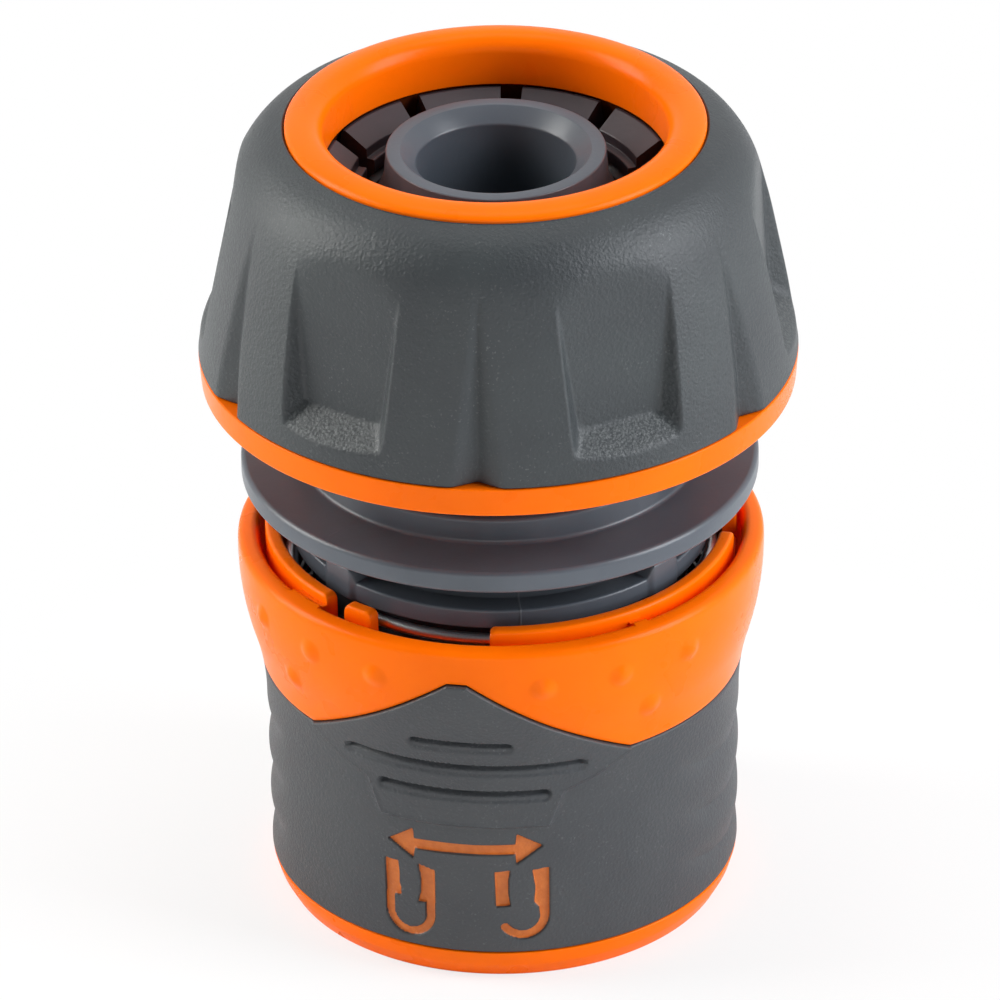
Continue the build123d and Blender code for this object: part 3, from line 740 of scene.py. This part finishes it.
# Connector body
def connector_body():
    half = degrees(lug_half_width / collar_radius)
    turn = degrees(lug_ramp / collar_radius)
    angles = columns(1.5, *[(a - half - 0.1, a + half + 0.1, turn / 6) for a in lug_angles])
    lug = np.zeros(len(angles))
    for a in lug_angles:
        lug = np.maximum(lug, ramp(half - abs(wrapped(angles - a)), 0, turn))
    collar = collar_top + lug_rise * lug
    brim = collar_radius + lug_reach * lug
    barbs = []
    for barb in reversed(range(barb_count)):
        crest = tail_top - barb_pitch * (barb + 1)
        barbs += [(barb_root, crest, 0.1), (barb_radius, crest, 0.1), (barb_radius, crest + barb_land, 0.2)]
    corners = [
        (mouth_radius + 1, body_low, 0.2), (end_spigot_radius, body_low, 0.2),
        (end_spigot_radius, body_low + end_ring_height, 0),
        (claw_barrel_radius, body_low + end_ring_height, 0.15), (claw_barrel_radius, barrel_shoulder, 0),
        (spring_barrel_radius, barrel_shoulder, 0.3), (spring_barrel_radius, collar_low, 0.2),
        (brim, collar_low, 0.2), (brim, collar, 0.2), (undercut_radius, collar, 0),
        (undercut_radius, flange_low, 0.4), (flange_radius, flange_low, 0.45),
        (flange_radius, flange_top, 0.42),
        (neck_radius, flange_top, 0.35), (neck_radius, neck_top, 0.3), (boss_radius, neck_top, 0.15),
        (boss_radius, boss_top, 0.3), (boss_radius - boss_wall, boss_top, 0.3),
        (boss_radius - boss_wall, hose_pocket_floor, 0.3), (barb_root, hose_pocket_floor, 0.3), *barbs,
        (tail_pilot_radius, tail_top - tail_pilot_length, 0.3), (tail_rim_radius, tail_top, 0.14),
        (tail_land_radius, tail_top, 0.12), (waterway_radius, tail_top - tail_chamfer, 0.3),
        (waterway_radius, seal_top + 1.6, 0.2), (seal_bore_radius, seal_top, 0.2),
        (seal_bore_radius, mouth_top, 0.2), (mouth_radius, mouth_top - 1.2, 0.2),
        (mouth_radius, body_low + 1, 0.2),
    ]
    profile = soften(corners, len(angles), 4)
    radius, height = profile[..., 0], profile[..., 1]
    # Marks the undercut between collar and flange for painted shade in the body's finish.
    undercut = (abs(radius - undercut_radius) < 0.5) & (height > collar_low + 1) & (height < flange_low + 0.4)
    body = ring_piece("connector_body_moulding", turned(angles, profile), body_plastic, "body",
                      "grey_plastic", ["connector_body"], marks={"shaded": undercut.astype(float)})
    cutters = []
    for window in range(4):
        angle = radians(45 + 90 * window)
        bpy.ops.mesh.primitive_cube_add(size=1.0, rotation=(0, 0, angle - pi / 2))
        cutter = bpy.context.object
        cutter.dimensions = (window_depth * MM, window_width * MM, window_height * MM)
        middle = window_radius * MM
        cutter.location = (middle * sin(angle), -middle * cos(angle), window_level * MM)
        cutters.append(cutter)
    bpy.ops.object.select_all(action="DESELECT")
    for cutter in cutters:
        cutter.select_set(True)
    bpy.context.view_layer.objects.active = cutters[0]
    bpy.ops.object.join()
    cutter = bpy.context.object
    cut = body.modifiers.new("windows", "BOOLEAN")
    cut.operation, cut.solver, cut.object = "DIFFERENCE", "EXACT", cutter
    body.modifiers.move(1, 0)
    bpy.context.view_layer.objects.active = body
    bpy.ops.object.modifier_apply(modifier="windows")
    bpy.data.objects.remove(cutter)
    body.data.set_sharp_from_angle(angle=radians(32))
    return body


def boss_thread():
    """Ridge of the nut's thread, wound on the boss, with run-out ends."""
    per_turn = 96
    count = int(thread_turns * per_turn)
    t = np.linspace(0, 1, count + 1)
    angle = t * thread_turns * 2 * pi
    middle = thread_start + t * thread_turns * thread_pitch
    fade = ramp(t, 0, 0.06) * ramp(1 - t, 0, 0.06)
    section = ((-0.75, -0.1), (-0.25, 1.0), (0.25, 1.0), (0.75, -0.1))
    rings = []
    for offset, rise in section:
        radius = boss_radius + np.where(rise > 0, thread_height * rise * fade, rise)
        rings.append(np.stack((radius * np.sin(angle), -radius * np.cos(angle), middle + offset), -1))
    points = np.stack(rings, 1)
    index = np.arange(points.shape[0] * 4).reshape(-1, 4)
    faces = [(index[i, j], index[i + 1, j], index[i + 1, (j + 1) % 4], index[i, (j + 1) % 4])
             for i in range(count) for j in range(4)]
    faces += [tuple(index[0]), tuple(index[-1][::-1])]
    return piece("boss_thread", points.reshape(-1, 3), faces, body_plastic, "body", "grey_plastic")


def end_ring():
    angles = columns(2.0)
    slope = (cam_low_radius - cam_top_radius) / (cam_top - cam_low)

    def outer(height):
        return cam_low_radius - slope * (height - cam_low) - sliding_gap

    inner, top = end_spigot_radius + hair_gap, body_low + end_ring_height
    corners = [(outer(body_low), body_low, 0.4), (outer(top), top, 0.2), (inner, top, 0),
               (inner, body_low, 0.15)]
    return ring_piece("end_ring_moulding", turned(angles, soften(corners, len(angles))), body_plastic, "body",
                      "grey_plastic", ["end_ring"])


def release_spring():
    """Round wire in a helix, wound from the CAD spring's lowest to its highest point."""
    low_end, high_end = low("release_spring"), high("release_spring")
    wire = spring_wire / 2
    radius = reach("release_spring") - wire
    per_turn, sides = 72, 16
    count = int(spring_turns * per_turn)
    t = np.linspace(0, 1, count + 1)
    angle = radians(spring_end) - pi / 2 + (1 - t) * spring_turns * 2 * pi
    middle = low_end + wire + t * (high_end - low_end - 2 * wire)
    round_wire = np.linspace(0, 2 * pi, sides, endpoint=False)
    off_radius, off_height = wire * np.cos(round_wire), wire * np.sin(round_wire)
    radius = radius + off_radius[None, :]
    x, y = radius * np.cos(angle)[:, None], radius * np.sin(angle)[:, None]
    z = middle[:, None] + off_height[None, :]
    points = np.stack((x, y, z), -1)
    index = np.arange(points.shape[0] * sides).reshape(-1, sides)
    ahead, round_again = index[1:], np.roll(index, -1, 1)
    faces = np.stack((index[:-1], round_again[:-1], round_again[1:], ahead), -1).reshape(-1, 4).tolist()
    faces += [index[0][::-1].tolist(), index[-1].tolist()]
    coil = piece("release_spring_wire", points.reshape(-1, 3), faces, steel_paint(), "spring",
                 "spring_steel", ["release_spring"])
    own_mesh(coil)
    return coil


# Sleeve
def flare(height):
    """Radius of the sleeve's side: a near straight wall, then two equal arcs."""
    rise = (flare_top - sleeve_straight_top) / 2
    spread = (flare_radius_max - sleeve_waist_radius) / 2
    arc = (rise**2 + spread**2) / (2 * spread)
    up = np.clip(height - sleeve_straight_top, 0, rise)
    down = np.clip(flare_top - height, 0, rise)
    lower = sleeve_waist_radius + arc - np.sqrt(arc**2 - up**2)
    upper = flare_radius_max - arc + np.sqrt(arc**2 - down**2)
    wall = sleeve_seam_radius + (sleeve_waist_radius - sleeve_seam_radius) * (
        (height - sleeve_seam) / (sleeve_straight_top - sleeve_seam))
    curved = np.where(height < sleeve_straight_top + rise, lower, upper)
    return np.where(height < sleeve_straight_top, wall, curved)


def edge_line(angles):
    """Height of the soft grip's upper edge at each column."""
    height = np.full(len(angles), edge_height)
    for _ in range(12):
        x = flare(height) * abs(np.sin(np.radians(angles)))
        share = np.clip((edge_corner - x) / (edge_corner - edge_peak_half), 0, 1)
        height = edge_height + (edge_peak - edge_height) * share
    return height


def edge_columns():
    """Columns that stand exactly on the corners and peaks of the soft grip's edge."""
    corners_at = degrees(np.arcsin(edge_corner / flare(edge_height)))
    peak_at = degrees(np.arcsin(edge_peak_half / flare(edge_peak)))
    return np.array([a for middle in (0, 180) for side in (-1, 1) for a in
                     (middle + side * corners_at, middle + side * peak_at)])


def bumped(angles, profile):
    """Adds the low round finger bumps of the flare, front and back."""
    radius, height = profile[..., 0], profile[..., 1]
    rise = np.zeros_like(radius)
    for angle, level in bumps:
        for at in (angle, -angle, 180 - angle, angle - 180):
            off = np.radians(wrapped(angles - at))[:, None] * radius
            near = np.clip(1 - (off**2 + (height - level) ** 2) / bump_reach**2, 0, 1)
            rise += bump_rise * near**1.6
    return np.stack((radius + rise, height), -1)


def release_sleeve():
    marks = [a for gap in ring_gaps for a in gap]
    marks += [a for first, last, _ in shelves for a in (first, last) if a not in marks]
    web_half = degrees(web_half_width / rim_inner)
    marks += [a + side * web_half for a in web_angles for side in (-1, 1)]
    gap_marks = [wrapped(a + half) for a in marks for half in (0, 180)]
    spans = []
    for middle in (-180, 0, 180):
        for angle, _ in bumps:
            for side in (-1, 1):
                at = middle + side * angle
                if -180 < at < 180:
                    spans.append((at - bump_span, at + bump_span, 0.6))
    angles = columns(1.2, *spans, marks=gap_marks)
    end_turn = degrees(ring_end_round / ring_inner)
    ends = [a + half + side * end_turn * share for gap in ring_gaps for a, side in zip(gap, (-1, 1))
            for half in (0, 180) for share in (0.13, 0.3, 0.6, 1.0)]
    exact = np.concatenate((edge_columns(), ends))
    angles = np.unique(np.concatenate((angles, np.round(wrapped(exact), 5))))
    count = len(angles)
    gap = np.zeros(count, bool)
    web = np.zeros(count, bool)
    from_end = np.full(count, 90.0)
    pocket = np.full(count, pocket_floor)
    for half in (0, 180):
        for first, last in ring_gaps:
            gap |= between(angles, first + half, last + half)
            for end in (first, last):
                from_end = np.minimum(from_end, abs(wrapped(angles - end - half)))
        for first, last, top in shelves:
            pocket = np.where(between(angles, first + half, last + half), top, pocket)
        for a in web_angles:
            web |= between(angles, a - web_half + half, a + web_half + half)
    fall = 1 - np.sqrt(1 - np.clip(1 - from_end / end_turn, 0, 1) ** 2)
    ring_high = np.where(gap, ring_gap_top, ring_top - ring_end_round * fall)
    pocket = np.where(web, web_top, pocket)
    pocket_side = np.where(pocket > pocket_floor, pocket, pocket_floor + 0.6)
    edge = edge_line(angles)
    under = flare(edge) - grip_depth
    foot = soften([(cam_low_radius, 0, 0.15), (sleeve_foot_radius, 0, 0.3),
                   (sleeve_foot_bulge, sleeve_seam / 2, 1.5), (sleeve_seam_radius, sleeve_seam, 0.12),
                   (sleeve_seam_radius - grip_depth, sleeve_seam, 0),
                   (sleeve_waist_radius - grip_depth, sleeve_straight_top, 0)], count)
    foot_points = 10
    rows = np.linspace(0, 1, 46)
    height = (edge + 0.3)[:, None] + rows[None, :] * (flare_top - 0.2 - edge - 0.3)[:, None]
    side = bumped(angles, np.stack((flare(height), height), -1))
    lip_steps = ((0.16, 0.02), (0.05, 0.07), (0.005, 0.17))
    lip = np.stack([np.stack((under, edge), -1),
                    *[np.stack((flare(edge) - back, edge + up), -1) for back, up in lip_steps]], 1)
    inside = soften([
        (flare_radius_max, flare_top, 0), (flare_radius_max - 0.02, sleeve_rim - 0.35, 0.9),
        (rim_inner + 0.3, sleeve_rim, 0.5), (rim_inner, pocket_side, 0.1),
        (ring_outer, pocket, 0), (ring_outer, ring_high, 0.3),
        (ring_inner, ring_high, 0.3), (ring_inner, spring_seat, 0.2), (floor_bore, spring_seat, 0.1),
        (floor_bore, spring_floor, 0.1), (wall_inner, spring_floor, 0.2), (wall_inner, cam_top, 0.3),
        (cam_top_radius, cam_top, 0.2), (cam_low_radius, cam_low, 0), (cam_low_radius, 0, 0.15),
        (sleeve_foot_radius, 0, 0.3)], count)
    inside = inside[:, :-foot_points]
    profile = np.concatenate((foot, lip, side, inside), 1)
    radius, height = profile[..., 0], profile[..., 1]
    # Marks the sleeve's inner pocket walls for a painted red-orange bounce light in the orange finish.
    deep = (radius < rim_inner + 0.05) & (height > spring_floor) & (height < sleeve_rim - 0.5)
    return ring_piece("release_sleeve_moulding", turned(angles, profile), orange, "sleeve", "orange_plastic",
                      ["release_sleeve"], marks={"inside": deep.astype(float)})


def polygon_distance(corners, x, y):
    """Distance to a closed outline, negative inside."""
    corners = np.array(corners, float)
    best = np.full(x.shape, 1e9)
    inside = np.zeros(x.shape, bool)
    for start, end in zip(corners, np.roll(corners, -1, axis=0)):
        run = end - start
        t = np.clip(((x - start[0]) * run[0] + (y - start[1]) * run[1]) / (run @ run), 0, 1)
        best = np.minimum(best, np.hypot(x - start[0] - t * run[0], y - start[1] - t * run[1]))
        crosses = (start[1] > y) != (end[1] > y)
        with np.errstate(divide="ignore", invalid="ignore"):
            at = start[0] + (y - start[1]) / (run[1] if run[1] else 1e-9) * run[0]
        inside ^= crosses & (x < at)
    return np.where(inside, -best, best)


def stroke_distance(centre, radius, first, last, half, x, y):
    """Distance to an arc drawn with a pen of twice half, from first to last, negative inside."""
    angle = (np.degrees(np.arctan2(y - centre[1], x - centre[0])) - first) % 360
    on_arc = angle <= (last - first) % 360
    ring = abs(np.hypot(x - centre[0], y - centre[1]) - radius)
    ends = [np.hypot(x - centre[0] - radius * cos(radians(a)), y - centre[1] - radius * sin(radians(a)))
            for a in (first, last)]
    return np.where(on_arc, ring, np.minimum(*ends)) - half


def symbols(s, z):
    """Distance to the double arrow and the two shackles, negative inside; s runs round the sleeve."""
    shapes = [
        polygon_distance(((-4.6, 12.05), (4.6, 12.2), (4.6, 13.1), (-4.6, 12.95)), s, z),
        polygon_distance(((-6.45, 12.5), (-4.3, 11.15), (-4.15, 12.3), (-4.35, 13.9)), s, z),
        polygon_distance(((6.45, 12.9), (4.35, 14.1), (4.2, 12.7), (4.3, 11.3)), s, z),
        polygon_distance(((-6.85, 10.55), (-5.7, 10.5), (-5.62, 8.6), (-5.45, 7.3), (-6.8, 7.2)), s, z),
        polygon_distance(((-3.9, 10.6), (-2.5, 10.2), (-2.5, 7.1), (-3.95, 7.0), (-3.7, 8.0),
                          (-3.65, 9.2)), s, z),
        stroke_distance((-4.68, 5.85), 1.8, 180, 360, 0.36, s, z),
        polygon_distance(((-6.84, 5.8), (-6.1, 5.8), (-6.1, 7.4), (-6.84, 7.4)), s, z),
        polygon_distance(((-3.26, 5.8), (-2.52, 5.8), (-2.52, 7.4), (-3.26, 7.4)), s, z),
        polygon_distance(((2.5, 10.5), (3.75, 10.6), (3.6, 9.6), (3.6, 8.4), (3.75, 7.3), (2.6, 7.2)), s, z),
        polygon_distance(((5.6, 10.6), (6.98, 10.75), (6.98, 6.3), (6.2, 6.3), (6.15, 7.0),
                          (5.75, 7.5), (5.85, 9.0)), s, z),
        stroke_distance((4.78, 6.3), 1.82, 217, 360, 0.37, s, z),
    ]
    return np.minimum.reduce(shapes)


def pad_shape(x, z):
    """How far the raised pad stands: a beaded edge, and slots that are deepest along their upper side."""
    past_edge = [(14.5, 21.7), (edge_peak_half, edge_peak + 1.5)]
    half_outline = [*pad_corners, *past_edge]
    outline = [(-a, b) for a, b in half_outline] + half_outline[::-1]
    pad = polygon_distance(outline, x, z)
    rise = pad_rise * ramp(-pad, -0.2, 0.1) + pad_bead * np.clip(1 - abs(pad - 0.05) / 0.3, 0, 1)
    for level, half in pad_slots:
        along = np.maximum(abs(x) - half + pad_slot_half, 0)
        slot = np.hypot(along, z - level) - pad_slot_half
        slope = 0.3 + 0.7 * ramp(z - level, -0.15, 0.3)
        rise -= pad_slot_depth * slope * ramp(-slot, -0.12, 0.12)
    return rise


def lobes(angles, z):
    """Valleys between the side lobes: sharp below, rising and fading towards the front and back."""
    swing = abs(np.sin(np.radians(angles)))[:, None]
    from_front = np.minimum(abs(angles), 180 - abs(angles))[:, None]
    fade = ramp(from_front, 55, 72)
    sunk = np.zeros(z.shape)
    for level in lobe_levels:
        off = abs(z - level - lobe_rise * (1 - swing))
        sunk -= lobe_depth * np.clip(1 - off / lobe_half, 0, 1) ** 2 * fade
    return sunk


def sleeve_grip():
    angles = columns(1.5, (-22.5, 22.5, 0.36), (22.5, 44, 0.75), (-44, -22.5, 0.75), (44, 75, 1.1),
                     (-75, -44, 1.1), (135, 179.4, 0.9), (-179.4, -135, 0.9))
    angles = np.unique(np.concatenate((angles, np.round(wrapped(edge_columns()), 5))))
    count = len(angles)
    edge = edge_line(angles) - 0.07
    turn = 14.5
    levels = fine_steps((sleeve_seam + 0.25, 3.5, 0.2), (3.5, 14.3, 0.12), (14.3, edge_peak - 0.2, 0.16))
    stretch = (edge[:, None] - 0.2 - turn) / (edge_peak - 0.2 - turn)
    height = np.where(levels[None, :] < turn, levels[None, :], turn + (levels[None, :] - turn) * stretch)
    radius = flare(height)
    x = radius * np.sin(np.radians(angles))[:, None]
    front = (abs(angles) < 90)[:, None]
    rise = pad_shape(x, height) + lobes(angles, height)
    s = np.radians(angles)[:, None] * np.full_like(height, sleeve_waist_radius)
    symbol = np.where(front, -symbols(s, height), no_symbol)
    rise = rise - symbol_depth * ramp(symbol, -0.07, 0.05)
    side = np.stack((radius + rise, height), -1)
    first, last = side[:, 0], side[:, -1]
    bottom = np.stack([first + (-0.35, -0.17), first + (-0.13, -0.15), first + (-0.03, -0.08)], 1)
    top = np.stack([last + (-0.03, 0.1), last + (-0.12, 0.17), last + (-0.35, 0.2),
                    np.stack((flare(edge) - grip_depth, edge), -1)], 1)
    inner = np.broadcast_to([(sleeve_waist_radius - grip_depth, 16.5),
                             (sleeve_seam_radius - grip_depth, sleeve_seam + 0.08)], (count, 2, 2))
    profile = np.concatenate((bottom, side, top, inner), 1)
    marks = np.full(profile.shape[:2], no_symbol)
    marks[:, bottom.shape[1]:bottom.shape[1] + side.shape[1]] = symbol
    return ring_piece("sleeve_soft_grip", turned(angles, profile), sleeve_grip_paint(), "sleeve",
                      "grey_soft_grip", ["sleeve_grip"],
                      marks={"symbol": marks, "ledge": np.zeros_like(marks)}, crease=50.0)


orange = moulded_paint("orange_moulded", (255, 112, 2), (254, 108, 1), 0.28, specular=0.1)
collet_plastic = moulded_paint("collet_plastic", (64, 56, 61), (57, 50, 55), 0.38)
claw_plastic = moulded_paint("claw_plastic", (64, 64, 67), (56, 56, 58), 0.35)
body_plastic = body_paint()

nut_grip()
nut_shell()
hose_collet()
connector_body()
boss_thread()
end_ring()
release_spring()
release_sleeve()
sleeve_grip()
for node, item in frame["nodes"].items():
    if node.startswith("lock_claw"):
        item.data.materials.clear()
        item.data.materials.append(claw_plastic)


# Floor, light and camera
def floor():
    """White floor that keeps the shadow near the part and turns to plain white further out."""
    bpy.ops.mesh.primitive_circle_add(vertices=96, radius=3.0, fill_type="NGON")
    ground = bpy.context.object
    ground.name = "floor"
    paint = Paint("floor_white")
    x, y = paint.axis("X"), paint.axis("Y")
    away = paint.node("ShaderNodeMath", {"operation": "SQRT"}, {0: x * x + y * y})
    glow = paint.node("ShaderNodeEmission", {}, {"Color": (1, 1, 1, 1), "Strength": 1.0}, "Emission")
    seen = paint.node("ShaderNodeLightPath", output="Is Camera Ray")
    paint.finish(Base_Color=(0.85, 0.85, 0.85, 1), Roughness=0.9, Specular_IOR_Level=0.0)
    share = (0.75 + 0.25 * away.smooth(26.0, 60.0)) * seen
    plain = Wire(paint, paint.shader.outputs[0])
    mixed = paint.node("ShaderNodeMixShader", {}, {0: share, 1: plain, 2: glow})
    paint.feed(paint.tree.nodes["Material Output"].inputs["Surface"], mixed)
    ground.data.materials.append(paint.material)


def world():
    """White to the eye; as light, a white backdrop behind the part and a dim room before it."""
    paint = Paint("studio", bpy.data.worlds)
    paint.tree.nodes.clear()
    direction = paint.node("ShaderNodeTexCoord", output="Generated")
    behind = paint.node("ShaderNodeSeparateXYZ", {}, {"Vector": direction}, "Y").smooth(-0.1, 0.6)
    white = (1, 1, 1, 1)
    strength = room_light + backdrop_light * behind
    lit = paint.node("ShaderNodeBackground", {}, {"Color": white, "Strength": strength})
    seen = paint.node("ShaderNodeBackground", {}, {"Color": white, "Strength": 1.0})
    camera_ray = paint.node("ShaderNodeLightPath", output="Is Camera Ray")
    mixed = paint.node("ShaderNodeMixShader", {}, {0: camera_ray, 1: lit, 2: seen})
    paint.node("ShaderNodeOutputWorld", {}, {"Surface": mixed}, output=None)
    bpy.context.scene.world = paint.material


def softbox(name, place, width, height, power, colour=(1.0, 1.0, 1.0)):
    """Area light in metres that faces the part's middle."""
    lamp = bpy.data.lights.new(name, "AREA")
    lamp.shape, lamp.size, lamp.size_y = "RECTANGLE", width, height
    lamp.energy, lamp.color = power, colour
    item = bpy.data.objects.new(name, lamp)
    item.location = place
    item.rotation_mode = "QUATERNION"
    item.rotation_quaternion = (Vector(place) - Vector(aim)).to_track_quat("Z", "Y")
    bpy.context.collection.objects.link(item)


def camera():
    """The photograph's view: fitted direction, distance, lens and a slight roll."""
    azimuth, elevation, distance, roll = radians(10.0), radians(29.62), 0.768, -0.75
    back = Vector((sin(azimuth) * cos(elevation), -cos(azimuth) * cos(elevation), sin(elevation)))
    eye = bpy.data.objects.new("camera", bpy.data.cameras.new("camera"))
    eye.data.lens, eye.data.sensor_width, eye.data.sensor_fit = 339.7, 36.0, "HORIZONTAL"
    eye.data.shift_x = -0.0005
    eye.location = Vector(aim) + back * distance
    eye.rotation_mode = "QUATERNION"
    eye.rotation_quaternion = back.to_track_quat("Z", "Y") @ Quaternion((0, 0, 1), radians(roll))
    bpy.context.collection.objects.link(eye)
    bpy.context.scene.camera = eye


aim = (0.0, 0.0, 0.0342)
room_light = 0.1
backdrop_light = 0.75
floor()
world()
softbox("left_box", (-0.57, -0.04, 0.32), 0.3, 0.5, 4.2, (1.0, 1.0, 0.97))
softbox("right_box", (0.57, -0.06, 0.32), 0.3, 0.5, 4.8, (0.93, 0.96, 1.0))
softbox("front_box", (0.05, -0.75, 0.08), 0.8, 0.2, 1.15)
softbox("top_box", (0.0, 0.1, 0.7), 0.5, 0.3, 0.9)
camera()
bpy.context.scene.view_settings.view_transform = "Standard"
